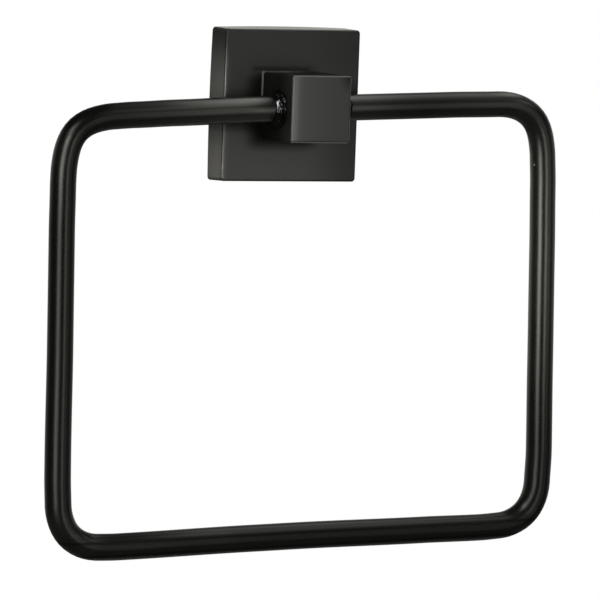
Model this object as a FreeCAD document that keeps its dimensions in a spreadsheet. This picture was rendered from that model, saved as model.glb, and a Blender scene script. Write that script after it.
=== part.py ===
import FreeCAD, Part
import os
import Sketcher

# Wall-mounted towel ring. Frame: X right, Y into the wall, Z up, millimetres.
# The origin is the middle of the cover plate's rear rim, which lies on the wall.

doc = FreeCAD.newDocument("towel_ring")
os.makedirs("parts", exist_ok=True)

# driving dimensions
sheet = doc.addObject("Spreadsheet::Sheet", "size")

SIZES = [
    # cover plate: a square cast cup, open to the wall
    ("plate_width", 50.0),        # straight front outline, side to side
    ("plate_depth", 9.5),         # wall to front face
    ("plate_wall", 2.5),          # side walls and floor
    ("plate_edge", 0.7),          # rounding around the front face
    ("plate_corner", 1.2),        # rounding of the four corner edges
    ("front_band", 1.4),          # straight part of the walls behind the front face
    ("rim_flare", 0.15),          # how far the rear rim stands out past the front outline
    ("rim_bow", 0.35),            # how far each rear side bows out from its corners
    # post: a square block that carries the ring
    ("post_width", 22.0),
    ("post_length", 20.75),        # front face of the plate to front face of the post
    ("post_edge", 0.8),
    ("spigot_width", 10.0),       # square spigot that keeps the post from turning
    ("spigot_short", 0.3),        # the spigot stops this far short of the plate's inside
    # ring: one round bar, bent to a rounded oblong
    ("bar_diameter", 8.5),
    ("ring_width", 179.2),        # bar centre to bar centre
    ("ring_height", 140.9),
    ("top_bend", 18.0),           # centre line radii of the upper and lower corners
    ("bottom_bend", 14.5),
    ("ring_stand_off", 20.8),     # wall to the centre of the top bar
    ("ring_drop", 0.45),          # top bar below the middle of the plate
    ("ring_turn", 1.95),           # degrees, right end up, as it was welded
    ("ring_lean", 1.2),          # degrees, lower bar towards the wall
    ("ring_seat", 5.8),           # how deep each bar end sits in the post
    ("bore_clearance", 0.1),      # on the radius, and at the bottom of the bore
    # weld beads around the bar where it enters the post
    ("weld_leg", 2.0),            # height on the post
    ("weld_length", 2.3),         # reach along the bar
    ("weld_root", 1.0),           # how far the bead is drawn into the post before trimming
    # wall bracket: a strip with two bent flanges
    ("bracket_width", 34.0),
    ("bracket_gauge", 1.5),
    ("flange_reach", 6.0),        # wall to the tip of each flange
    ("bend_inside", 0.8),
    ("hang_clearance", 0.1),      # upper flange to the plate's inside
    ("slot_spacing", 24.0),
    ("slot_width", 4.5),
    ("slot_length", 8.0),         # overall
    # post screw and its washer
    ("screw_diameter", 5.0),
    ("screw_length", 12.0),
    ("screw_head", 9.5),
    ("screw_head_height", 3.0),
    ("screw_key", 3.0),           # across the flats of the hexagon socket
    ("screw_key_depth", 1.7),
    ("washer_diameter", 16.0),
    ("washer_thickness", 1.0),
    ("screw_clearance", 0.15),    # on the radius, through the washer
    ("tap_clearance", 0.05),      # on the radius, in a tapped hole
    ("tap_run_out", 1.0),         # tapped hole past the end of the screw
    # grub screw that locks the plate on the bracket
    ("grub_diameter", 4.0),
    ("grub_length", 8.0),
    ("grub_recess", 0.5),         # below the surface of the plate's underside
    ("grub_from_wall", 3.8),
    ("grub_key", 2.0),
    ("grub_key_depth", 2.5),
    ("grub_point", 0.6),
    ("seat_clearance", 0.1),      # all round the post's spigot
]

for row, (alias, number) in enumerate(SIZES, start=1):
    sheet.set("A%d" % row, alias.replace("_", " "))
    sheet.set("B%d" % row, str(number))
    sheet.setAlias("B%d" % row, alias)
doc.recompute()


def value(text):
    """The present value of an expression, for a sketch's first drawing."""
    return float(sheet.evalExpression(text))


def new_body(label):
    """An empty body whose label names its file."""
    body = doc.addObject("PartDesign::Body", label + "_body")
    body.Label = label
    return body


def new_sketch(body, name, role, offset="0"):
    """A sketch on one of the body's own planes, moved along the plane's normal."""
    sketch = body.newObject("Sketcher::SketchObject", name)
    planes = [item for item in body.Origin.OriginFeatures if item.Role == role]
    sketch.AttachmentSupport = [(planes[0], "")]
    sketch.MapMode = "FlatFace"
    sketch.setExpression("AttachmentOffset.Base.z", offset)
    return sketch


def bind(sketch, kind, where, text):
    """A dimension of a sketch, held by an expression of the sheet."""
    number = value(text)
    index = sketch.addConstraint(Sketcher.Constraint(kind, *where, number))
    sketch.setExpression("Constraints[%d]" % index, text)


def hold_point(sketch, geometry, end, x_text, y_text):
    """One point of a sketch, held by its two coordinates."""
    bind(sketch, "DistanceX", (-1, 1, geometry, end), x_text)
    bind(sketch, "DistanceY", (-1, 1, geometry, end), y_text)


def outline(sketch, corners, bows=None):
    """A closed outline through the corners; bows gives the radius of a side that is an arc.

    An arc is drawn the short way round and bulges outwards from an outline drawn
    anticlockwise.
    """
    bows = bows or {}
    points = [FreeCAD.Vector(value(x), value(y), 0) for x, y in corners]
    count = len(points)
    for index, start in enumerate(points):
        end = points[(index + 1) % count]
        if index in bows:
            radius = value(bows[index])
            chord = end.sub(start)
            outward = FreeCAD.Vector(chord.y, -chord.x, 0).normalize()
            rise = radius - (radius ** 2 - (chord.Length / 2) ** 2) ** 0.5
            middle = (start + end) * 0.5 + outward * rise
            sketch.addGeometry(Part.Arc(start, middle, end), False)
        else:
            sketch.addGeometry(Part.LineSegment(start, end), False)
    for index, (x, y) in enumerate(corners):
        sketch.addConstraint(Sketcher.Constraint("Coincident", index, 2, (index + 1) % count, 1))
        hold_point(sketch, index, 1, x, y)
    for index, radius in bows.items():
        bind(sketch, "Radius", (index,), radius)


def square(sketch, width):
    """A square around the sketch's origin."""
    half = "(%s) / 2" % width
    outline(sketch, [("-" + half, "-" + half), (half, "-" + half), (half, half), ("-" + half, half)])


def circle(sketch, diameter, x="0", y="0"):
    """A circle held by its centre and diameter."""
    centre = FreeCAD.Vector(value(x), value(y), 0)
    index = sketch.addGeometry(Part.Circle(centre, FreeCAD.Vector(0, 0, 1), value(diameter) / 2), False)
    hold_point(sketch, index, 3, x, y)
    bind(sketch, "Diameter", (index,), diameter)


def hexagon(sketch, across, x="0", y="0"):
    """A hexagon given by the distance across its flats, two corners on the level."""
    corner = "(%s) / (2 * cos(30 deg))" % across
    half = "(%s) / 2" % across
    outline(sketch, [
        ("%s + %s" % (x, corner), y),
        ("%s + %s / 2" % (x, corner), "%s + %s" % (y, half)),
        ("%s - %s / 2" % (x, corner), "%s + %s" % (y, half)),
        ("%s - %s" % (x, corner), y),
        ("%s - %s / 2" % (x, corner), "%s - %s" % (y, half)),
        ("%s + %s / 2" % (x, corner), "%s - %s" % (y, half)),
    ])


def extrude(body, kind, name, sketch, length, backwards=False):
    """A Pad or a Pocket of one sketch to one length."""
    feature = body.newObject("PartDesign::" + kind, name)
    feature.Profile = sketch
    feature.setExpression("Length", length)
    feature.Reversed = backwards
    sketch.Visibility = False
    doc.recompute()
    return feature


def turn(body, name, sketch, axis):
    """A full revolution of one sketch about one of its axes."""
    feature = body.newObject("PartDesign::Revolution", name)
    feature.Profile = sketch
    feature.ReferenceAxis = (sketch, [axis])
    feature.Angle = 360.0
    sketch.Visibility = False
    doc.recompute()
    return feature


def edges_where(feature, test):
    """Names of the feature's edges whose two end points both pass the test."""
    names = []
    for index, edge in enumerate(feature.Shape.Edges, start=1):
        ends = [vertex.Point for vertex in edge.Vertexes]
        if len(ends) == 2 and test(ends[0], ends[1]):
            names.append("Edge%d" % index)
    return names


def dress(body, kind, name, base, edges, size):
    """A Fillet or a Chamfer on the named edges."""
    feature = body.newObject("PartDesign::" + kind, name)
    feature.Base = (base, edges)
    feature.setExpression("Radius" if kind == "Fillet" else "Size", size)
    doc.recompute()
    return feature


def near(a, b):
    return abs(a - b) < 0.01


# Places that several pieces share, all measured from the wall or the plate's middle.
INSIDE = "size.plate_depth - size.plate_wall"                       # wall to the inside of the plate's floor
RING_PLACE = ("placement(vector(0; -size.ring_stand_off; -size.ring_drop);"
              " rotation(0; -size.ring_turn; size.ring_lean))")


# cover plate
# A cast square cup. Its front outline is straight and its rear rim bows out on each
# side, so the four walls are lofted between the two.
cover = new_body("cover_plate")
rear = new_sketch(cover, "rear_rim", "XZ_Plane")
rim_half = "(size.plate_width / 2 + size.rim_flare)"
rim_radius = "(%s^2 + size.rim_bow^2) / (2 * size.rim_bow)" % rim_half
outline(rear, [("-" + rim_half, "-" + rim_half), (rim_half, "-" + rim_half),
               (rim_half, rim_half), ("-" + rim_half, rim_half)],
        bows={side: rim_radius for side in range(4)})
shoulder = new_sketch(cover, "shoulder_outline", "XZ_Plane", "size.plate_depth - size.front_band")
square(shoulder, "size.plate_width")
walls = cover.newObject("PartDesign::AdditiveLoft", "walls")
walls.Profile = rear
walls.Sections = [shoulder]
walls.Ruled = True
doc.recompute()
front = new_sketch(cover, "front_outline", "XZ_Plane", "size.plate_depth - size.front_band")
square(front, "size.plate_width")
cup = extrude(cover, "Pad", "front_pad", front, "size.front_band")

depth = value("size.plate_depth")
corner_edges = edges_where(cup, lambda a, b: abs(a.y - b.y) > 0.5 and abs(abs(a.x) - abs(a.z)) < 0.01)
corners = dress(cover, "Fillet", "corner_rounding", cup, corner_edges, "size.plate_corner")
front_edges = edges_where(corners, lambda a, b: near(a.y, -depth) and near(b.y, -depth))
edge_round = dress(cover, "Fillet", "front_rounding", corners, front_edges, "size.plate_edge")

hollow = new_sketch(cover, "hollow", "XZ_Plane")
square(hollow, "size.plate_width - 2 * size.plate_wall")
extrude(cover, "Pocket", "hollow_cut", hollow, INSIDE, backwards=True)
seat = new_sketch(cover, "spigot_seat", "XZ_Plane")
square(seat, "size.spigot_width + 2 * size.seat_clearance")
extrude(cover, "Pocket", "spigot_seat_cut", seat, "size.plate_depth + 1", backwards=True)
grub_hole = new_sketch(cover, "grub_hole", "XY_Plane")
circle(grub_hole, "size.grub_diameter + 2 * size.tap_clearance", y="-size.grub_from_wall")
extrude(cover, "Pocket", "grub_hole_cut", grub_hole, "size.plate_width")

# post
# A solid square block, rounded on every edge, with a spigot behind it, a tapped hole
# for the screw and a blind bore on each side for the ends of the bar.
post = new_body("post")
block = new_sketch(post, "block", "XZ_Plane", "size.plate_depth")
square(block, "size.post_width")
block_pad = extrude(post, "Pad", "block_pad", block, "size.post_length")
every_edge = ["Edge%d" % (index + 1) for index in range(len(block_pad.Shape.Edges))]
dress(post, "Fillet", "block_rounding", block_pad, every_edge, "size.post_edge")
spigot = new_sketch(post, "spigot", "XZ_Plane", "size.plate_depth")
square(spigot, "size.spigot_width")
extrude(post, "Pad", "spigot_pad", spigot, "size.plate_wall - size.spigot_short", backwards=True)
tapped = new_sketch(post, "tapped_hole", "XZ_Plane", INSIDE)
circle(tapped, "size.screw_diameter + 2 * size.tap_clearance")
extrude(post, "Pocket", "tapped_hole_cut", tapped,
        "size.screw_length - size.washer_thickness + size.tap_run_out", backwards=True)

bore_floor = "(size.post_width / 2 - size.ring_seat - size.bore_clearance)"
for name, side in (("left", "-1"), ("right", "1")):
    bore = post.newObject("PartDesign::SubtractiveCylinder", name + "_bore")
    bore.setExpression("Radius", "size.bar_diameter / 2 + size.bore_clearance")
    bore.setExpression("Height", "size.post_width")
    bore.setExpression("Placement", 
        RING_PLACE + " * placement(vector(%s * %s; 0; 0); rotation(0; %s * 90; 0))"
        % (side, bore_floor, side))
    doc.recompute()

# ring
# One bar swept along a rounded oblong that is open where the post is.
ring = new_body("ring")
ring.setExpression("Placement", RING_PLACE)
route = new_sketch(ring, "route", "XZ_Plane")
end_x = "(size.post_width / 2 - size.ring_seat)"
half_x = "(size.ring_width / 2)"
points = {name: FreeCAD.Vector(value(x), value(z), 0) for name, x, z in (
    ("start", "-" + end_x, "0"), ("a", "-%s + size.top_bend" % half_x, "0"),
    ("b", "-" + half_x, "-size.top_bend"), ("c", "-" + half_x, "-size.ring_height + size.bottom_bend"),
    ("d", "-%s + size.bottom_bend" % half_x, "-size.ring_height"),
    ("e", "%s - size.bottom_bend" % half_x, "-size.ring_height"),
    ("f", half_x, "-size.ring_height + size.bottom_bend"), ("g", half_x, "-size.top_bend"),
    ("h", "%s - size.top_bend" % half_x, "0"), ("end", end_x, "0"))}
order = ["start", "a", "b", "c", "d", "e", "f", "g", "h", "end"]
# the middle of each bend, on the diagonal from its centre
slant = 0.5 ** 0.5
bend_middles = {}
for first, second, x_side, z_side, bend in (
        ("a", "b", -1, 1, "size.top_bend"), ("c", "d", -1, -1, "size.bottom_bend"),
        ("e", "f", 1, -1, "size.bottom_bend"), ("g", "h", 1, 1, "size.top_bend")):
    radius = value(bend)
    centre_x = x_side * (value(half_x) - radius)
    centre_z = -radius if z_side > 0 else radius - value("size.ring_height")
    bend_middles[first] = FreeCAD.Vector(centre_x + x_side * radius * slant,
                                         centre_z + z_side * radius * slant, 0)
for index, first in enumerate(order[:-1]):
    start, end = points[first], points[order[index + 1]]
    if first in bend_middles:
        route.addGeometry(Part.Arc(start, bend_middles[first], end), False)
    else:
        route.addGeometry(Part.LineSegment(start, end), False)
for index in range(8):
    route.addConstraint(Sketcher.Constraint("Tangent", index, 2, index + 1, 1))
for level in (0, 4, 8):
    route.addConstraint(Sketcher.Constraint("Horizontal", level))
for upright in (2, 6):
    route.addConstraint(Sketcher.Constraint("Vertical", upright))
hold_point(route, 0, 1, "-" + end_x, "0")
hold_point(route, 8, 2, end_x, "0")
bind(route, "DistanceX", (-1, 1, 2, 1), "-" + half_x)
bind(route, "DistanceX", (-1, 1, 6, 1), half_x)
bind(route, "DistanceY", (-1, 1, 4, 1), "-size.ring_height")
for arc, bend in ((1, "size.top_bend"), (3, "size.bottom_bend"), (5, "size.bottom_bend")):
    bind(route, "Radius", (arc,), bend)
section = new_sketch(ring, "bar_section", "YZ_Plane", "-" + end_x)
circle(section, "size.bar_diameter")
bar = ring.newObject("PartDesign::AdditivePipe", "bar")
bar.Profile = section
bar.Spine = route
doc.recompute()

# weld beads
# A convex bead around the bar on each side of the post, trimmed by the post's face.
for name, side in (("left", -1), ("right", 1)):
    bead = new_body("bead_" + name)
    bead.setExpression("Placement", RING_PLACE)
    profile = new_sketch(bead, "bead_section_" + name, "XZ_Plane")
    face = "size.post_width / 2"
    crown = "size.bar_diameter / 2 + size.weld_leg * 0.7"
    places = [("%s - size.weld_root" % face, "size.bar_diameter / 2"),
              ("%s + size.weld_length" % face, "size.bar_diameter / 2"),
              ("%s + size.weld_length * 0.7" % face, crown),
              (face, "size.bar_diameter / 2 + size.weld_leg"),
              ("%s - size.weld_root" % face, "size.bar_diameter / 2 + size.weld_leg")]
    if side < 0:
        places = [("-(%s)" % x, y) for x, y in reversed(places)]
    outline(profile, places)
    turn(bead, "bead_turned_" + name, profile, "H_Axis")
    trimmed = doc.addObject("Part::Cut", "weld_" + name)
    trimmed.Base = bead
    trimmed.Tool = post
    trimmed.Label = "weld_" + name
    doc.recompute()

# wall bracket
# A pressed strip: the plate's upper wall hangs on one flange and the grub screw bears
# on the other.
bracket = new_body("wall_bracket")
side_view = new_sketch(bracket, "side_view", "YZ_Plane", "-size.bracket_width / 2")
top = "(size.plate_width / 2 - size.plate_wall - size.hang_clearance)"
low = "-(size.plate_width / 2 - size.grub_recess - size.grub_length)"
outline(side_view, [
    ("0", low), ("0", top), ("-size.flange_reach", top),
    ("-size.flange_reach", "%s - size.bracket_gauge" % top),
    ("-size.bracket_gauge", "%s - size.bracket_gauge" % top),
    ("-size.bracket_gauge", "%s + size.bracket_gauge" % low),
    ("-size.flange_reach", "%s + size.bracket_gauge" % low), ("-size.flange_reach", low)])
strip = extrude(bracket, "Pad", "strip", side_view, "size.bracket_width")
gauge = value("size.bracket_gauge")


def bend_edges(feature, y, lengthwise):
    """The edges along X at one distance from the wall, at both bends."""
    heights = [value(top), value(low)]
    if lengthwise == "inside":
        heights = [heights[0] - gauge, heights[1] + gauge]
    return edges_where(feature, lambda a, b: near(a.y, y) and near(b.y, y)
                       and near(a.z, b.z) and any(near(a.z, level) for level in heights)
                       and not near(a.x, b.x))


inner = dress(bracket, "Fillet", "bends_inside", strip, bend_edges(strip, -gauge, "inside"),
              "size.bend_inside")
outer = dress(bracket, "Fillet", "bends_outside", inner, bend_edges(inner, 0.0, "outside"),
              "size.bend_inside + size.bracket_gauge")
slot = new_sketch(bracket, "slot", "XZ_Plane")
reach = "(size.slot_length - size.slot_width) / 2"
near_x = "size.slot_spacing / 2 - %s" % reach
far_x = "size.slot_spacing / 2 + %s" % reach
radius = value("size.slot_width / 2")
ends = [(value(near_x), -radius), (value(far_x), -radius), (value(far_x), radius), (value(near_x), radius)]
ends = [FreeCAD.Vector(x, z, 0) for x, z in ends]
slot.addGeometry(Part.LineSegment(ends[0], ends[1]), False)
slot.addGeometry(Part.Arc(ends[1], FreeCAD.Vector(value(far_x) + radius, 0, 0), ends[2]), False)
slot.addGeometry(Part.LineSegment(ends[2], ends[3]), False)
slot.addGeometry(Part.Arc(ends[3], FreeCAD.Vector(value(near_x) - radius, 0, 0), ends[0]), False)
for index in range(4):
    slot.addConstraint(Sketcher.Constraint("Tangent", index, 2, (index + 1) % 4, 1))
slot.addConstraint(Sketcher.Constraint("Horizontal", 0))
hold_point(slot, 1, 3, far_x, "0")
bind(slot, "DistanceX", (-1, 1, 3, 3), near_x)
bind(slot, "Radius", (1,), "size.slot_width / 2")
slot_cut = extrude(bracket, "Pocket", "slot_cut", slot, "size.bracket_gauge + 1", backwards=True)
pair = bracket.newObject("PartDesign::Mirrored", "slot_pair")
pair.Originals = [slot_cut]
pair.MirrorPlane = (slot, ["V_Axis"])
bracket.Tip = pair
doc.recompute()

# Post screw: a button head with a hexagon socket, turned about the Y axis.
screw = new_body("post_screw")
screw_view = new_sketch(screw, "screw_view", "XY_Plane")
seat_y = "-(%s) + size.washer_thickness" % INSIDE
head_y = "%s + size.screw_head_height" % seat_y
tip_y = "%s - size.screw_length" % seat_y
shank = "size.screw_diameter / 2"
outline(screw_view, [
    ("0", tip_y), ("%s - 0.5" % shank, tip_y), (shank, "%s + 0.5" % tip_y), (shank, seat_y),
    ("size.screw_head / 2", seat_y), ("size.screw_head / 2", "%s + 0.8" % seat_y),
    ("size.screw_key", head_y), ("0", head_y)])
turn(screw, "screw_turned", screw_view, "V_Axis")
key = new_sketch(screw, "screw_key", "XZ_Plane", "-(%s)" % head_y)
hexagon(key, "size.screw_key")
extrude(screw, "Pocket", "screw_key_cut", key, "size.screw_key_depth")

# Washer between the screw's head and the inside of the plate.
washer = new_body("post_washer")
ring_view = new_sketch(washer, "washer_view", "XZ_Plane", INSIDE)
circle(ring_view, "size.washer_diameter")
circle(ring_view, "size.screw_diameter + 2 * size.screw_clearance")
extrude(washer, "Pad", "washer_pad", ring_view, "size.washer_thickness", backwards=True)

# Grub screw, up through the plate's underside against the bracket's lower flange.
grub = new_body("grub_screw")
grub_foot = "-(size.plate_width / 2 - size.grub_recess)"
grub_view = new_sketch(grub, "grub_view", "XY_Plane", grub_foot)
circle(grub_view, "size.grub_diameter", y="-size.grub_from_wall")
grub_rod = extrude(grub, "Pad", "grub_rod", grub_view, "size.grub_length")
point = [name for name in ("Edge1", "Edge2", "Edge3")
         if near(grub_rod.Shape.getElement(name).BoundBox.ZMin, grub_rod.Shape.BoundBox.ZMax)]
dress(grub, "Chamfer", "grub_point", grub_rod, point, "size.grub_point")
socket = new_sketch(grub, "grub_socket", "XY_Plane", grub_foot)
hexagon(socket, "size.grub_key", y="-size.grub_from_wall")
extrude(grub, "Pocket", "grub_socket_cut", socket, "size.grub_key_depth", backwards=True)

# Check every object, then write one file for each piece.
doc.recompute()
for item in doc.Objects:
    faults = [state for state in item.State if state in ("Invalid", "Error")]
    if faults:
        raise RuntimeError("%s is %s" % (item.Name, faults))

for label in ("cover_plate", "post", "ring", "weld_left", "weld_right", "wall_bracket",
              "post_screw", "post_washer", "grub_screw"):
    piece = doc.getObjectsByLabel(label)[0]
    if piece.Shape.isNull() or not piece.Shape.isValid():
        raise RuntimeError("%s has no valid shape" % label)
    piece.Shape.exportStep("parts/%s.step" % label)
    box = piece.Shape.BoundBox
    print("%-13s %d solid, %8.1f mm3, %s" % (
        label, len(piece.Shape.Solids), piece.Shape.Volume,
        [round(side, 2) for side in (box.XMin, box.YMin, box.ZMin, box.XMax, box.YMax, box.ZMax)]))
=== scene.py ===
import math

import bmesh
import bpy
from mathutils import Matrix, Vector, noise


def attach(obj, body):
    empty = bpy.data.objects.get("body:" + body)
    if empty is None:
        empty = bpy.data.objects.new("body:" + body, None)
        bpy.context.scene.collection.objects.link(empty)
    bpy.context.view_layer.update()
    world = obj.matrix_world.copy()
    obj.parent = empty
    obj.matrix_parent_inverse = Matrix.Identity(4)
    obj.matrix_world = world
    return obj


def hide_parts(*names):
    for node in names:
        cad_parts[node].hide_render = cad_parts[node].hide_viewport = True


MM = 0.001
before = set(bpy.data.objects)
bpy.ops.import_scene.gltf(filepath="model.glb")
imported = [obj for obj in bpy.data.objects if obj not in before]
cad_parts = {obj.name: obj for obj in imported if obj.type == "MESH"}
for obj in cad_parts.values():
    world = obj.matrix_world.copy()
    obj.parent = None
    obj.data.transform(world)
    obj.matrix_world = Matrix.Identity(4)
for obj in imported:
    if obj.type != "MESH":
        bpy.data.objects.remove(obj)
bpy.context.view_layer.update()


# ---- Wall bracket
# A strip of mild steel, 1.5 mm thick, pressed with two slots and two bent flanges, then
# barrel-plated with zinc. It is screwed to the wall and hidden under the cover plate.

def linear(code):
    """A colour written as sRGB hex, as the linear RGBA that Blender's nodes take."""
    parts = [int(code[i:i + 2], 16) / 255 for i in (1, 3, 5)]
    return [c / 12.92 if c <= 0.04045 else ((c + 0.055) / 1.055) ** 2.4 for c in parts] + [1.0]


def add(tree, kind, inputs=None, **settings):
    """A node with its settings and its inputs, each an output of another node or a plain value."""
    node = tree.nodes.new(kind)
    for name, setting in settings.items():
        setattr(node, name, setting)
    for socket, source in (inputs or {}).items():
        if hasattr(source, "is_output"):
            tree.links.new(source, node.inputs[socket])
        else:
            node.inputs[socket].default_value = source
    return node


def new_material(name):
    """An empty material, its tree and its Principled shader, already joined to the output."""
    material = bpy.data.materials.new(name)
    material.use_nodes = True
    tree = material.node_tree
    tree.nodes.clear()
    shader = add(tree, "ShaderNodeBsdfPrincipled")
    add(tree, "ShaderNodeOutputMaterial", {"Surface": shader.outputs["BSDF"]})
    return material, tree, shader


def clouded(tree, shader, size, detail, dark, light, start=0.0, end=1.0):
    """Colours the shader in soft clouds, size mm across; gives the place on the object and the clouds."""
    place = add(tree, "ShaderNodeTexCoord").outputs["Object"]
    cloud = add(tree, "ShaderNodeTexNoise", {
        "Vector": place, "Scale": 1 / (size * MM), "Detail": detail}).outputs["Fac"]
    tone = add(tree, "ShaderNodeValToRGB", {"Fac": cloud})
    for stop, where, code in zip(tone.color_ramp.elements, (start, end), (dark, light)):
        stop.position, stop.color = where, linear(code)
    tree.links.new(tone.outputs["Color"], shader.inputs["Base Color"])
    return place, cloud


def dress(node_name, material):
    """Gives a CAD node's object one material in place of its slots."""
    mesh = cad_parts[node_name].data
    mesh.materials.clear()
    mesh.materials.append(material)


def zinc_plating():
    """Zinc plating on pressed steel: cool grey, with faint blotches and an even, soft sheen."""
    material, tree, shader = new_material("zinc plated steel")
    blotch = clouded(tree, shader, 6, 3.0, "#a9abaa", "#c3c5c6", 0.35, 0.65)[1]
    rough = add(tree, "ShaderNodeMapRange", {"Value": blotch, "To Min": 0.30, "To Max": 0.44})
    tree.links.new(rough.outputs["Result"], shader.inputs["Roughness"])
    shader.inputs["Metallic"].default_value = 1.0
    return material


zinc = zinc_plating()
dress("wall_bracket", zinc)


# ---- Post screw, washer and grub screw
# Turned and stamped steel. The screw and its washer hold the post from inside the plate and
# are zinc plated like the bracket; the grub screw in the plate's underside is blackened.

def black_oxide():
    """Black oxide, hot dipped and oiled: near black, a little brown, with a low waxy sheen."""
    material, tree, shader = new_material("black oxide steel")
    clouded(tree, shader, 1.5, 2.0, "#171615", "#2a2826")
    shader.inputs["Metallic"].default_value = 0.6
    shader.inputs["Roughness"].default_value = 0.45
    return material


dress("post_screw", zinc)
dress("post_washer", zinc)
dress("grub_screw", black_oxide())


# ---- Cover plate
# A square cup cast in zinc, with a flat front, small rounded edges and a rear rim that lies
# on the wall. It wears the same baked black coat as the post and the ring.

def black_coat(name, dark, light, roughness, grain=0.35, relief=0.004, tint="#ffffff"):
    """Black powder coat, sprayed dry and baked: nearly even colour and a broad, soft highlight.

    The skin's own ripple is about 0.1 mm across; it is drawn at grain mm, so that it shows.
    """
    material, tree, shader = new_material(name)
    place, cloud = clouded(tree, shader, 14, 4.0, dark, light, 0.3, 0.7)
    rough = add(tree, "ShaderNodeMapRange", {
        "Value": cloud, "To Min": roughness - 0.03, "To Max": roughness + 0.03})
    ripple = add(tree, "ShaderNodeTexNoise", {"Vector": place, "Scale": 1 / (grain * MM), "Detail": 2.0})
    bump = add(tree, "ShaderNodeBump", {
        "Height": ripple.outputs["Fac"], "Distance": relief * MM, "Strength": 1.0})
    tree.links.new(rough.outputs["Result"], shader.inputs["Roughness"])
    tree.links.new(bump.outputs["Normal"], shader.inputs["Normal"])
    shader.inputs["IOR"].default_value = 1.5
    shader.inputs["Specular Tint"].default_value = linear(tint)
    return material, tree, shader, place


def combine(tree, operation, *values):
    """Several values put together by one operation, taken in turn from the left."""
    total = values[0]
    for value in values[1:]:
        total = add(tree, "ShaderNodeMath", {0: total, 1: value}, operation=operation).outputs[0]
    return total


def between(tree, share, low, high):
    """Goes from low to high as share goes from 0 to 1."""
    return add(tree, "ShaderNodeMapRange", {"Value": share, "To Min": low, "To Max": high}).outputs["Result"]


def near(tree, value, far, close):
    """0 where a value is still at far, 1 where it reaches close, soft in between; both in mm."""
    return add(tree, "ShaderNodeMapRange", {"Value": value, "From Min": far * MM, "From Max": close * MM},
               interpolation_type="SMOOTHSTEP").outputs["Result"]


def facing(tree, axis, start, full):
    """1 where the surface faces along an axis of the object, going soft to 0."""
    way = add(tree, "ShaderNodeSeparateXYZ", {0: add(tree, "ShaderNodeTexCoord").outputs["Normal"]})
    return add(tree, "ShaderNodeMapRange", {"Value": way.outputs[axis], "From Min": start, "From Max": full},
               interpolation_type="SMOOTHSTEP").outputs["Result"]


def profile(tree, value, stops):
    """A curve along a value: stops are pairs of a place in mm and the height there, in rising order."""
    first, last = stops[0][0], stops[-1][0]
    along = add(tree, "ShaderNodeMapRange", {"Value": value, "From Min": first * MM, "From Max": last * MM})
    curve = add(tree, "ShaderNodeValToRGB", {"Fac": along.outputs["Result"]})
    knots = curve.color_ramp.elements
    for knot, (where, height) in ((knots[0], stops[0]), (knots[-1], stops[-1])):
        knot.color = (height, height, height, 1)
    for where, height in stops[1:-1]:
        knots.new((where - first) / (last - first)).color = (height, height, height, 1)
    return curve.outputs["Color"]


def edge_highlights(tree, x, y, z, half, front, back, reach):
    """1 along the edges of a square block, where painted edge highlights go, and 0 on its faces; in mm."""
    across = near(tree, combine(tree, "ABSOLUTE", x, 0.0), half - reach, half - 0.1)
    upward = near(tree, combine(tree, "ABSOLUTE", z, 0.0), half - reach, half - 0.1)
    ends = combine(tree, "MAXIMUM", near(tree, y, front + reach, front + 0.1),
                   near(tree, y, back - 2 * reach, back - 0.4))
    return combine(tree, "MAXIMUM", combine(tree, "MULTIPLY", across, ends),
                   combine(tree, "MULTIPLY", upward, ends), combine(tree, "MULTIPLY", across, upward))


def tone_up(tree, shader, share, code):
    """Turns the shader's base colour to another one by share."""
    blend = add(tree, "ShaderNodeMix", {0: share}, data_type="RGBA")
    tree.links.new(shader.inputs["Base Color"].links[0].from_socket, blend.inputs[6])
    blend.inputs[7].default_value = linear(code)
    tree.links.new(blend.outputs[2], shader.inputs["Base Color"])


def scale_roughness(tree, shader, factor):
    """Multiplies the shader's roughness by a value."""
    steady = shader.inputs["Roughness"].links[0].from_socket
    tree.links.new(combine(tree, "MULTIPLY", steady, factor), shader.inputs["Roughness"])


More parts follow.
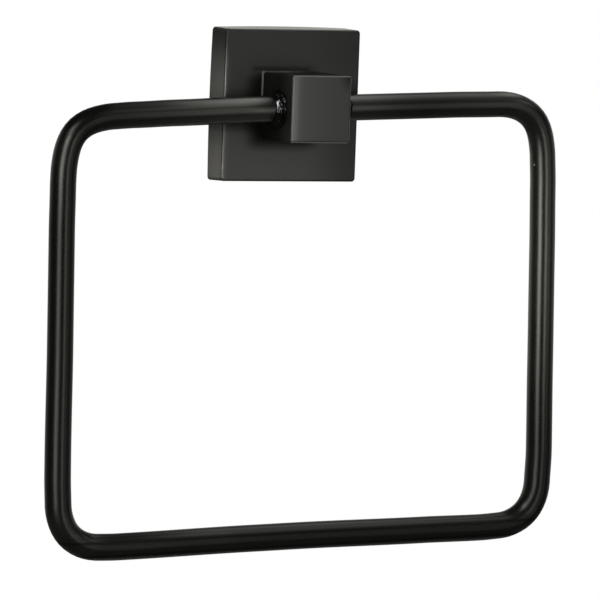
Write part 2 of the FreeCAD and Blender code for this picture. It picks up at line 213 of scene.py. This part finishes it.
def plate_coat():
    """The coat on the plate: rather matt on the front and livelier on its left wall, with painted highlight
    and shade set in its sheen by place.
    """
    material, tree, shader, place = black_coat(
        "satin black coat on the plate", "#0c0c0b", "#10100f", 0.42, tint="#fffff8")
    x, y, z = add(tree, "ShaderNodeSeparateXYZ", {0: place}).outputs
    edge = edge_highlights(tree, x, y, z, half=24.9, front=-9.5, back=30, reach=0.45)

    # Painted highlight and shade in the sheen: the front is livelier low down and along its left border,
    # duller towards the right and in its lower right corner.
    corner = profile(tree, x, ((8, 1.0), (12, 0.93), (20, 0.74), (25, 0.76)))
    border = profile(tree, x, ((-25, 2.2), (-24.3, 1.6), (-23.6, 1.2), (-22.5, 1.0)))
    front = combine(
        tree, "MULTIPLY",
        profile(tree, z, ((-22, 0.80), (16, 0.46), (24, 0.44))),
        profile(tree, x, ((4, 1.0), (15, 0.86), (26, 0.72))),
        between(tree, near(tree, z, -2, -12), 1.0, corner),
        between(tree, near(tree, z, 21, 13), 1.0, border))

    # Painted shade: the sheen is dulled where the post and the bar shade the plate: in a soft square around
    # the post's foot, in a line just above it, and in a band below the bar.
    beside = combine(tree, "ABSOLUTE", combine(tree, "ADD", x, 3 * MM), 0)
    beyond = combine(tree, "ABSOLUTE", combine(tree, "ADD", z, 2 * MM), 0)
    beside = combine(tree, "MAXIMUM", combine(tree, "SUBTRACT", beside, 8 * MM), 0.0)
    beyond = combine(tree, "MAXIMUM", combine(tree, "SUBTRACT", beyond, 9 * MM), 0.0)
    corner_gap = add(tree, "ShaderNodeCombineXYZ", {0: beside, 1: combine(tree, "MULTIPLY", beyond, 1.5)})
    gap = add(tree, "ShaderNodeVectorMath", {0: corner_gap.outputs[0]}, operation="LENGTH").outputs["Value"]
    painted_post_shade = between(tree, near(tree, gap, 0, 8), 0.1, 1.0)
    line = combine(tree, "MAXIMUM", profile(tree, z, ((11.3, 1.0), (11.7, 0.5), (12.2, 0.55), (13.2, 1.0))),
                   near(tree, x, 2, 9), near(tree, x, -11, -16))
    below = combine(tree, "MULTIPLY", near(tree, z, -10, -6.3), near(tree, z, 0, -1), near(tree, x, 2, -4))
    front = combine(tree, "MULTIPLY", front, painted_post_shade, line, between(tree, below, 1.0, 0.3))

    # Painted highlight and shade on the left wall: its sheen is raised in two long stretches, above and below
    # the bar, with painted shade between them and a thin dull line behind its front edge.
    wall = combine(
        tree, "MULTIPLY",
        profile(tree, z, (
            (-24.5, 2.4), (-20, 2.4), (-16.3, 2.02), (-14.3, 1.8), (-12.3, 1.3), (-9, 0.66), (-7.7, 0.25),
            (-5, 0.2), (-1, 0.8), (3.4, 1.44), (6, 1.64), (7.4, 1.6), (9.4, 1.44), (13.3, 0.96),
            (17.3, 0.5), (19.2, 0.28), (23, 0.13))),
        profile(tree, y, (
            (-9.5, 1.0), (-9.15, 1.0), (-8.95, 0.55), (-8.6, 0.85), (-8, 1.05), (-6, 1.1), (-3, 1.0),
            (-0.5, 0.86))))
    sheen = between(tree, facing(tree, "Y", -0.2, -0.7), 0.46, front)
    sheen = between(tree, facing(tree, "X", -0.3, -0.8), sheen, wall)

    # Painted highlight: the left front edge gets more sheen, most of all a little above the bar.
    edge_sheen_highlight = combine(
        tree, "MULTIPLY", edge, facing(tree, "X", 0.3, -0.1), 0.33,
        profile(tree, z, (
            (-24.5, 0.12), (-20, 0.2), (-14, 0.28), (-11, 0.42), (-7, 0.3), (-3, 0.7), (0, 1.0), (6, 1.1),
            (10, 0.9), (15, 0.8), (19.6, 0.38), (22.5, 0.05))))
    low_edge = combine(tree, "MULTIPLY", edge, near(tree, z, -5, -11))
    sheen = combine(tree, "MULTIPLY", combine(tree, "ADD", sheen, edge_sheen_highlight), between(tree, low_edge, 1.0, 0.45))
    tree.links.new(sheen, shader.inputs["Specular IOR Level"])
    scale_roughness(tree, shader, between(tree, facing(tree, "Z", 0.4, 0.9), 1.0, 0.4))

    # Painted highlight: a pale hairline in the base colour runs along the post's foot, above it and to its
    # left.
    above = combine(
        tree, "MULTIPLY", profile(tree, z, ((10.5, 0.0), (10.6, 1.0), (11.0, 1.0), (11.15, 0.0))),
        near(tree, x, -11.3, -11.0), near(tree, x, 5, 0))
    aside = combine(
        tree, "MULTIPLY", profile(tree, x, ((-11.4, 0.0), (-11.25, 1.0), (-10.6, 1.0), (-10.5, 0.0))),
        near(tree, z, 2, 4), near(tree, z, 11.3, 11))
    painted_foot_line = combine(
        tree, "MULTIPLY", combine(tree, "MAXIMUM", above, aside), facing(tree, "Y", -0.2, -0.7),
        profile(tree, x, ((-11, 0.55), (-7, 0.75), (-2, 1.0), (5, 0.8))))
    tone_up(tree, shader, painted_foot_line, "#7a7a77")
    return material


dress("cover_plate", plate_coat())


# ---- Post
# A solid square block of steel, its edges softly rounded, that stands on the plate and
# carries the ring. It is bored from each side for the bar and coated after welding.

def patch(tree, place, middle, radius, inside, outside):
    """Goes softly from inside to outside over a ball around a point; sizes in mm."""
    gap = add(tree, "ShaderNodeVectorMath", {0: place, 1: Vector(middle) * MM}, operation="DISTANCE")
    return add(tree, "ShaderNodeMapRange", {
        "Value": gap.outputs["Value"], "From Min": 0.0, "From Max": radius * MM,
        "To Min": inside, "To Max": outside}, interpolation_type="SMOOTHSTEP").outputs["Result"]


def post_coat():
    """The coat on the post: satin on the front, almost dead on its sides by painted shade, with painted
    highlights along the edges.
    """
    material, tree, shader, place = black_coat(
        "satin black coat on the post", "#0c0c0b", "#10100f", 0.48, tint="#fffffa")
    x, y, z = add(tree, "ShaderNodeSeparateXYZ", {0: place}).outputs
    edge = edge_highlights(tree, x, y, z, half=11, front=-30.25, back=-9.5, reach=0.6)
    edge = combine(tree, "MULTIPLY", edge, facing(tree, "X", -0.45, -0.15))

    # Painted highlight and shade in the sheen: the front is liveliest in a strip along its left edge and dull
    # in its upper right corner; the sides grow duller towards the plate.
    front = combine(
        tree, "MULTIPLY",
        profile(tree, x, (
            (-11, 0.3), (-10.75, 0.9), (-10.5, 1.85), (-9.9, 1.9), (-9.6, 1.76), (-9.3, 1.68),
            (-8.9, 1.54), (-8.6, 1.33), (-8.2, 1.14), (-7.4, 1.02), (-6, 0.89), (0, 0.78), (4, 0.71),
            (9, 0.665))),
        patch(tree, place, (11, -30.25, 10.5), 6, 0.3, 1.0))
    flank = profile(tree, y, ((-30.25, 0.50), (-27, 0.36), (-24, 0.2), (-21, 0.1), (-9.5, 0.1)))
    sheen = between(tree, facing(tree, "Y", -0.72, -0.96), flank, front)
    sheen = combine(tree, "ADD", sheen, between(tree, edge, 0.0, 0.45))
    tree.links.new(sheen, shader.inputs["Specular IOR Level"])
    scale_roughness(tree, shader, between(tree, edge, 1.0, 0.7))

    # Painted highlights in the base colour: lighter grey along the edges, paler grey in a line at the foot of
    # the left side, and paler still round the front's right and lower edges.
    tone_up(tree, shader, between(tree, edge, 0.0, 0.8), "#3c3c3a")
    painted_foot_highlight = combine(tree, "MULTIPLY", near(tree, y, -10.1, -9.9), near(tree, z, 0, 3),
                   facing(tree, "X", -0.3, -0.8))
    tone_up(tree, shader, painted_foot_highlight, "#8e8e8a")
    painted_rim_highlight = combine(tree, "MAXIMUM", facing(tree, "X", 0.55, 0.8), facing(tree, "Z", -0.75, -0.93))
    tone_up(tree, shader, combine(tree, "MULTIPLY", painted_rim_highlight, near(tree, y, -29.4, -29.7)), "#a8a8a4")
    return material


dress("post", post_coat())


# ---- Ring
# One round steel bar, bent round four corners by hand and welded into the post. Its runs
# wander by a few tenths of a millimetre, and the line of its bends isn't quite round.

RING_WIDTH, RING_HEIGHT = 179.2, 140.9   # bar centre to bar centre, mm
TOP_BEND, LOW_BEND = 18.0, 14.5          # centre line radii of the upper and lower corners
BAR_END = 5.2                            # from the post's middle to each end of the bar
RING_OUT, RING_DROP = 20.8, 0.45         # the top bar's middle: out from the wall, below the plate's middle
RING_TURN, RING_LEAN = 1.95, 1.2         # degrees, as it was welded: right end up, lower bar to the wall
bar_frame = (Matrix.Translation(Vector((0, -RING_OUT, -RING_DROP)) * MM)
             @ Matrix.Rotation(math.radians(-RING_TURN), 4, "Y")
             @ Matrix.Rotation(math.radians(RING_LEAN), 4, "X"))

# The whole length of the bar's true line, from end to end.
BAR_LENGTH = (2 * (RING_WIDTH / 2 - TOP_BEND - BAR_END) + 2 * (RING_HEIGHT - TOP_BEND - LOW_BEND)
              + RING_WIDTH - 2 * LOW_BEND + math.pi * (TOP_BEND + LOW_BEND))

# Where the real bar's line turns, in mm along it from its left end, and how far it stands out
# of its true line there. It tucks in at both ends of a bend and swells out between them.
BAR_LINE = (
    (0, 0), (10, 0.34), (16, 0.35), (44, 0), (58, -0.25), (69, -0.57),                  # left of the post
    (80.5, 0.42), (92, -0.56),                                                          # upper left bend
    (100, -0.29), (114, -0.1), (150, -0.06), (186, 0.23), (193, 0.22), (207.5, -0.19),  # left side
    (214, -0.05), (222, -0.16),                                                         # lower left bend
    (233, 0.18), (283, -0.22), (300, -0.25), (346, 0.1), (368, 0.32), (382, -0.17),     # lower bar
    (386, -0.12), (396.5, -0.37),                                                       # lower right bend
    (409, 0.17), (436, 0.02), (476, -0.08), (498, -0.27), (509.5, -0.63),               # right side
    (521.5, 0.55), (535, -0.23),                                                        # upper right bend
    (554, 0.02), (588, 0.08), (BAR_LENGTH, 0))                                          # right of the post

# The bar's radius in mm, in the same way: a little over the CAD bar's 4.25, and fullest in the
# middle of the lower bar.
BAR_RADII = ((0, 4.3), (30, 4.38), (86, 4.28), (108, 4.27), (280, 4.45), (520, 4.28), (588, 4.32),
             (BAR_LENGTH, 4.3))


def along_bar(s):
    """The point s mm along the true bent bar, and the way out of the ring there, in the ring's own plane."""
    high, low = RING_WIDTH / 2 - TOP_BEND, RING_WIDTH / 2 - LOW_BEND
    here, turn = Vector((-BAR_END, 0)), math.pi / 2
    for x, z, radius in ((-high, -TOP_BEND, TOP_BEND), (-low, LOW_BEND - RING_HEIGHT, LOW_BEND),
                         (low, LOW_BEND - RING_HEIGHT, LOW_BEND), (high, -TOP_BEND, TOP_BEND)):
        out = Vector((math.cos(turn), math.sin(turn)))
        run = Vector((x, z)) + radius * out - here
        if s <= run.length:
            return here + run.normalized() * s, out
        s -= run.length
        swing = min(s / radius, math.pi / 2)
        out = Vector((math.cos(turn + swing), math.sin(turn + swing)))
        here = Vector((x, z)) + radius * out
        if swing < math.pi / 2:
            return here, out
        s -= radius * math.pi / 2
        turn += math.pi / 2
    return here - Vector((s, 0)), out


def eased(points, s):
    """The height at s of a line that is level at every point and eases from each one to the next."""
    for (start, low), (end, high) in zip(points, points[1:]):
        if s <= end:
            t = (s - start) / (end - start)
            return low + (high - low) * (3 * t ** 2 - 2 * t ** 3)
    return points[-1][1]


def bar_coat():
    """The coat on the bar: thicker and smoother than on the plate, so its highlights are narrower bands."""
    material, tree, shader, place = black_coat(
        "satin black coat on the bar", "#0a0a09", "#0d0d0c", 0.28, tint="#fffff3")
    x, y, z = add(tree, "ShaderNodeSeparateXYZ", {0: place}).outputs
    tilt = add(tree, "ShaderNodeVectorMath", {0: place, 1: (-math.tan(math.radians(RING_TURN)), 0.0, 1.0)},
               operation="DOT_PRODUCT").outputs["Value"]
    over_top_bar = combine(tree, "ADD", tilt, RING_DROP * MM)
    over_low_bar = combine(tree, "ADD", over_top_bar, RING_HEIGHT * MM)

    # Painted highlight: the sheen is raised beside the post and on the upper right bar, and falls off from
    # there.
    sheen = combine(tree, "MAXIMUM", patch(tree, place, (-15, -20, 0), 64, 0.84, 0.22),
                    patch(tree, place, (94, -20, -42), 78, 0.84, 0.22))
    # Painted highlight and shade: places along the bar that are duller or brighter than the run beside them.
    left_top = combine(tree, "MULTIPLY", facing(tree, "Z", 0.35, 0.62), near(tree, x, -30, -62))
    right_inside = combine(tree, "MULTIPLY", facing(tree, "X", -0.76, -0.92), near(tree, x, 76, 84))
    right_bend = combine(tree, "MULTIPLY", patch(tree, place, (82, -20, 3), 17, 1.0, 0.0),
                         facing(tree, "Z", 0.55, 0.85))
    left_outside = combine(tree, "MULTIPLY", patch(tree, place, (-88, -20, -18), 24, 1.0, 0.0),
                           facing(tree, "X", -0.1, -0.5))
    # Painted highlight bands that run along the top bar from the post leftwards, and along the whole lower
    # bar.
    top_bands = profile(tree, over_top_bar, (
        (-4.25, 0.8), (-3.3, 0.8), (-1.6, 1.0), (-0.8, 1.2), (0.3, 1.45), (1.1, 0.75), (1.9, 0.35),
        (2.7, 0.65), (3.6, 1.05)))
    low_bands = profile(tree, over_low_bar, (
        (-4.0, 1.4), (-3.5, 0.9), (-3.2, 0.3), (-2.5, 0.15), (-2.1, 0.7), (-1.5, 1.0), (1.0, 0.95),
        (1.35, 0.55), (1.7, 0.34), (2.05, 0.42), (2.4, 0.8), (2.7, 1.2), (3.1, 1.1), (3.6, 1.0), (3.9, 1.5)))
    # All of these set painted highlight and shade on the sheen by place; the undersides and the bar beside
    # the left weld are dulled as painted shade.
    sheen = combine(
        tree, "MULTIPLY", sheen,
        between(tree, left_top, 1.0, 0.22),
        between(tree, facing(tree, "Z", -0.3, -0.75), 1.0, 0.45),
        between(tree, right_inside, 1.0, 2.2),
        patch(tree, place, (-75.5, -20, -138.5), 9, 2.6, 1.0),
        between(tree, right_bend, 1.0, 3.5),
        between(tree, left_outside, 1.0, 1.9),
        patch(tree, place, (-85, -22, -5), 8, 0.25, 1.0),
        patch(tree, place, (18, -22, 0), 16, 1.15, 1.0),
        between(tree, near(tree, x, -26, -18), 1.0, top_bands),
        patch(tree, place, (-15, -24, 3.5), 7, 0.28, 1.0),
        between(tree, near(tree, z, -130, -135), 1.0, low_bands))
    tree.links.new(sheen, shader.inputs["Specular IOR Level"])

    # One small chip on the right bar: bare steel, with a dark pit under it.
    tone_up(tree, shader, patch(tree, place, (85.82, -21.8, -19.0), 0.6, 1.0, 0.0), "#010101")
    tone_up(tree, shader, patch(tree, place, (85.8, -21.76, -18.2), 0.55, 1.0, 0.0), "#8c8c88")
    return material


def finish_piece(name, mesh, material, node):
    """An object from a built mesh, smooth but for its flat ends, in place of a CAD node."""
    bmesh.ops.recalc_face_normals(mesh, faces=mesh.faces)
    data = bpy.data.meshes.new(name)
    mesh.to_mesh(data)
    mesh.free()
    for polygon in data.polygons:
        polygon.use_smooth = len(polygon.vertices) == 4
    data.materials.append(material)
    piece = bpy.data.objects.new(name, data)
    bpy.context.collection.objects.link(piece)
    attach(piece, "root")
    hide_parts(node)


def bent_bar(name, step=1.8, around=48):
    """The bar as one closed tube, swept along its wandering line in steps of about step mm."""
    count = int(BAR_LENGTH / step)
    path = []
    for n in range(count + 1):
        s = BAR_LENGTH * n / count
        point, out = along_bar(s)
        path.append((point + out * eased(BAR_LINE, s), eased(BAR_RADII, s)))
    mesh = bmesh.new()
    rows = []
    for n, (point, radius) in enumerate(path):
        run = path[min(n + 1, count)][0] - path[max(n - 1, 0)][0]
        out = Vector((-run.y, run.x)).normalized()
        row = []
        for k in range(around):
            turn = 2 * math.pi * k / around
            across = point + out * radius * math.cos(turn)
            point_mm = Vector((across.x, radius * math.sin(turn), across.y))
            row.append(mesh.verts.new(bar_frame @ (point_mm * MM)))
        rows.append(row)
    for a, b in zip(rows, rows[1:]):
        for k in range(around):
            mesh.faces.new((a[k], a[(k + 1) % around], b[(k + 1) % around], b[k]))
    mesh.faces.new(rows[0])
    mesh.faces.new(rows[-1])
    finish_piece(name, mesh, bar_coat(), "ring")


bent_bar("bent_bar")


# ---- Weld beads
# A run of weld metal around the bar on each side of the post, lumpy from the ripples of the
# pool. The coat lies thick and glossy over it and catches small hard sparks of light.

BAR_RADIUS, POST_HALF = 4.33 * MM, 11.0 * MM   # of the bar beside the post, and half the post's width
BEAD_LEG, BEAD_REACH = 2.0 * MM, 3.1 * MM      # up the post's face, and along the bar
BEAD_LIFT = {"left": 0.3 * MM, "right": 0.05 * MM}   # how far each bead sits above the bar's middle
RIPPLES, LUMP = 17, 2.0 * MM                   # ripples of the pool around the bar, and the size of its lumps


def weld_coat():
    """The same black coat, run together thick over the weld: darker, wet-looking, with coarse ripples."""
    material, tree, shader, place = black_coat(
        "thick glossy coat on the weld", "#050505", "#080807", 0.12, grain=0.7, relief=0.02)
    # Painted glints: the sheen is raised in a small ball at the left bead's front, so its sparks of light
    # gather there and stay dim elsewhere.
    painted_glints = patch(tree, place, (-13.5, -25.1, 0.7), 2.7, 1.8, 0.12)
    tree.links.new(painted_glints, shader.inputs["Specular IOR Level"])
    return material


def weld_bead(name, side, seed, lift, coat):
    """A closed bead around the bar, from the post's face to a wavy toe, sunk a hair into the bar."""
    around, along = 180, 30
    mesh = bmesh.new()
    rows = []
    for i in range(around):
        turn = 2 * math.pi * i / around
        radial = Vector((0, math.cos(turn), math.sin(turn)))
        toe = 1 + 0.12 * noise.noise(radial * 2.2 + Vector((seed, 0, 0)))
        row = []
        for j in range(along + 1):
            t = j / along
            arc = t * math.pi / 2
            x = BEAD_REACH * toe * math.sin(arc)
            r = BEAD_LEG * math.cos(arc)
            crown = math.sin(math.pi * min(1, t * 1.05)) ** 0.7
            pool = math.sin(turn * RIPPLES + 9 * (t - 0.5) ** 2 + seed)
            passes = math.cos(2 * math.pi * 2.3 * t + 1.6 * noise.noise(radial * 1.6 + Vector((0, seed, 0))))
            lump = noise.noise(Vector((x, r * radial.y, r * radial.z)) / LUMP + radial * 3.0
                               + Vector((0, 0, seed)))
            rise = (0.06 * pool + 0.16 * passes + 0.55 * lump) * MM * crown
            x = max(x + rise * math.sin(arc), 0)
            r = max(r + rise * math.cos(arc), -0.04 * MM) + BAR_RADIUS - 0.03 * MM
            point = bar_frame @ (Vector((side * (POST_HALF + x), 0, lift)) + radial * r)
            point.x += (side * (POST_HALF + x) - point.x) * (1 - t)
            row.append(mesh.verts.new(point))
        root = bar_frame @ (Vector((side * POST_HALF, 0, lift)) + radial * (BAR_RADIUS - 0.2 * MM))
        root.x = side * POST_HALF
        row.append(mesh.verts.new(root))
        rows.append(row)
    for i in range(around):
        a, b = rows[i], rows[(i + 1) % around]
        for j in range(len(a)):
            k = (j + 1) % len(a)
            mesh.faces.new((a[j], b[j], b[k], a[k]))
    finish_piece(name, mesh, coat, "weld_left" if side < 0 else "weld_right")


bead_coat = weld_coat()
weld_bead("bead_left", -1, 3.0, BEAD_LIFT["left"], bead_coat)
weld_bead("bead_right", 1, 8.0, BEAD_LIFT["right"], bead_coat)


# ---- Floor, light and camera
# The object hangs in its own frame, well above a plain pale floor, in a white studio. The
# floor and the room show plain white to the camera only, so no lamp has to whiten them.

FLOOR_DROP, FLOOR_HALF = 1.1, 3.0
floor_mesh = bpy.data.meshes.new("floor")
floor_mesh.from_pydata([(x * FLOOR_HALF, y * FLOOR_HALF, -FLOOR_DROP)
                        for x, y in ((-1, -1), (1, -1), (1, 1), (-1, 1))], [], [(0, 1, 2, 3)])
floor = bpy.data.objects.new("floor", floor_mesh)
bpy.context.collection.objects.link(floor)

# Matt floor paint, rolled on: pale and without gloss.
floor_paint, tree, shader = new_material("pale floor")
shader.inputs["Base Color"].default_value = linear("#e8e8e6")
shader.inputs["Roughness"].default_value = 0.9
seen = add(tree, "ShaderNodeLightPath").outputs["Is Camera Ray"]
white = add(tree, "ShaderNodeEmission", {"Color": linear("#ffffff"), "Strength": 1.0})
painted = add(tree, "ShaderNodeMixShader", {0: seen, 1: shader.outputs["BSDF"], 2: white.outputs["Emission"]})
output = [item for item in tree.nodes if item.type == "OUTPUT_MATERIAL"][0]
tree.links.new(painted.outputs[0], output.inputs["Surface"])
floor_mesh.materials.append(floor_paint)

# The wall of the studio behind the object is white, brightest at the object's height and
# dark towards floor and ceiling; the room in front of it is dim.
world = bpy.data.worlds.new("white studio")
bpy.context.scene.world = world
world.use_nodes = True
tree = world.node_tree
tree.nodes.clear()
toward = add(tree, "ShaderNodeTexCoord").outputs["Generated"]
ahead = add(tree, "ShaderNodeVectorMath", {0: toward, 1: (0.29, 0.957, 0.0)}, operation="DOT_PRODUCT")
behind = add(tree, "ShaderNodeMapRange", {
    "Value": ahead.outputs["Value"], "From Min": 0.0, "From Max": 0.9}, interpolation_type="SMOOTHSTEP")
height = add(tree, "ShaderNodeMapRange", {
    "Value": add(tree, "ShaderNodeSeparateXYZ", {0: toward}).outputs["Z"], "From Min": -1.0, "From Max": 1.0})
bright_band = add(tree, "ShaderNodeValToRGB", {"Fac": height.outputs["Result"]})
for level, grey in ((0.25, 0.02), (0.44, 0.55), (0.55, 0.66), (0.90, 0.05)):
    bright_band.color_ramp.elements.new(level).color = (grey, grey, grey, 1)
bright_band.color_ramp.elements.remove(bright_band.color_ramp.elements[0])
bright_band.color_ramp.elements.remove(bright_band.color_ramp.elements[-1])
glow = add(tree, "ShaderNodeMath", {
    0: behind.outputs["Result"], 1: bright_band.outputs["Color"], 2: 0.015}, operation="MULTIPLY_ADD")
room = add(tree, "ShaderNodeBackground", {"Color": linear("#fffdf5"), "Strength": glow.outputs[0]})
white = add(tree, "ShaderNodeBackground", {"Color": linear("#ffffff"), "Strength": 1.0})
seen = add(tree, "ShaderNodeLightPath").outputs["Is Camera Ray"]
studio = add(tree, "ShaderNodeMixShader", {0: seen, 1: room.outputs[0], 2: white.outputs[0]})
add(tree, "ShaderNodeOutputWorld", {"Surface": studio.outputs[0]})


def soft_box(name, azimuth, elevation, wide, tall, power, spread, distance=2.0):
    """A rectangular lamp facing the object's middle; azimuth 0 is the front, + is right, sizes in degrees."""
    lamp = bpy.data.lights.new(name, "AREA")
    lamp.shape = "RECTANGLE"
    lamp.size = 2 * distance * math.tan(math.radians(wide / 2))
    lamp.size_y = 2 * distance * math.tan(math.radians(tall / 2))
    lamp.energy = power
    lamp.spread = math.radians(spread)
    holder = bpy.data.objects.new(name, lamp)
    bpy.context.collection.objects.link(holder)
    a, e = math.radians(azimuth), math.radians(elevation)
    away = Vector((math.sin(a) * math.cos(e), -math.cos(a) * math.cos(e), math.sin(e)))
    holder.location = Vector((0.0, -0.02, -0.07)) + away * distance
    holder.rotation_euler = (-away).to_track_quat("-Z", "Y").to_euler()


# Two strips give the upright bars their two highlights; the rest fill the front, the top and
# the sides. Azimuth, elevation, width, height and watts of each.
soft_box("left strip", -48.5, -2, 30, 34, 0.80, spread=50, distance=1.2)
soft_box("left upper", -48.5, 24, 28, 18, 0.42, spread=50, distance=1.2)
soft_box("front strip", 8, -2, 16, 30, 0.38, spread=50, distance=1.6)
soft_box("front right", 36, -7, 34, 26, 0.26, spread=60)
soft_box("front upper", 26, 15, 56, 16, 0.40, spread=70)
soft_box("front high", 48, 38, 50, 16, 0.50, spread=70)
soft_box("high right", 81, 60, 64, 24, 4.0, spread=100)
soft_box("high left", -50, 50, 40, 30, 2.4, spread=40)
soft_box("right side", 85, -2, 40, 24, 0.10, spread=50)

# The camera stands to the left and a little above, far off with a long lens. Its place was
# worked out from the straight edges of the plate and the post.
YAW, PITCH, ROLL = math.radians(28.553), math.radians(4.091), math.radians(2.095)
DISTANCE = 2.9
PIXELS_PER_MM = 3.039                       # of a 600 pixel frame, at the object
AIM_RIGHT, AIM_UP = 7.36 * MM, -64.562 * MM
forward = Vector((math.sin(YAW) * math.cos(PITCH), math.cos(YAW) * math.cos(PITCH), -math.sin(PITCH)))
flat_right = Vector((math.cos(YAW), -math.sin(YAW), 0))
flat_up = flat_right.cross(forward)
right = math.cos(ROLL) * flat_right + math.sin(ROLL) * flat_up
up = -math.sin(ROLL) * flat_right + math.cos(ROLL) * flat_up
lens = bpy.data.cameras.new("camera")
lens.sensor_width = 36.0
lens.lens = PIXELS_PER_MM * DISTANCE / MM / 600 * lens.sensor_width
lens.clip_end = 20.0
camera = bpy.data.objects.new("camera", lens)
bpy.context.collection.objects.link(camera)
camera.matrix_world = (Matrix.Translation(AIM_RIGHT * right + AIM_UP * up - DISTANCE * forward)
                       @ Matrix((right, up, -forward)).transposed().to_4x4())
bpy.context.scene.camera = camera

bpy.context.scene.view_settings.view_transform = "Standard"
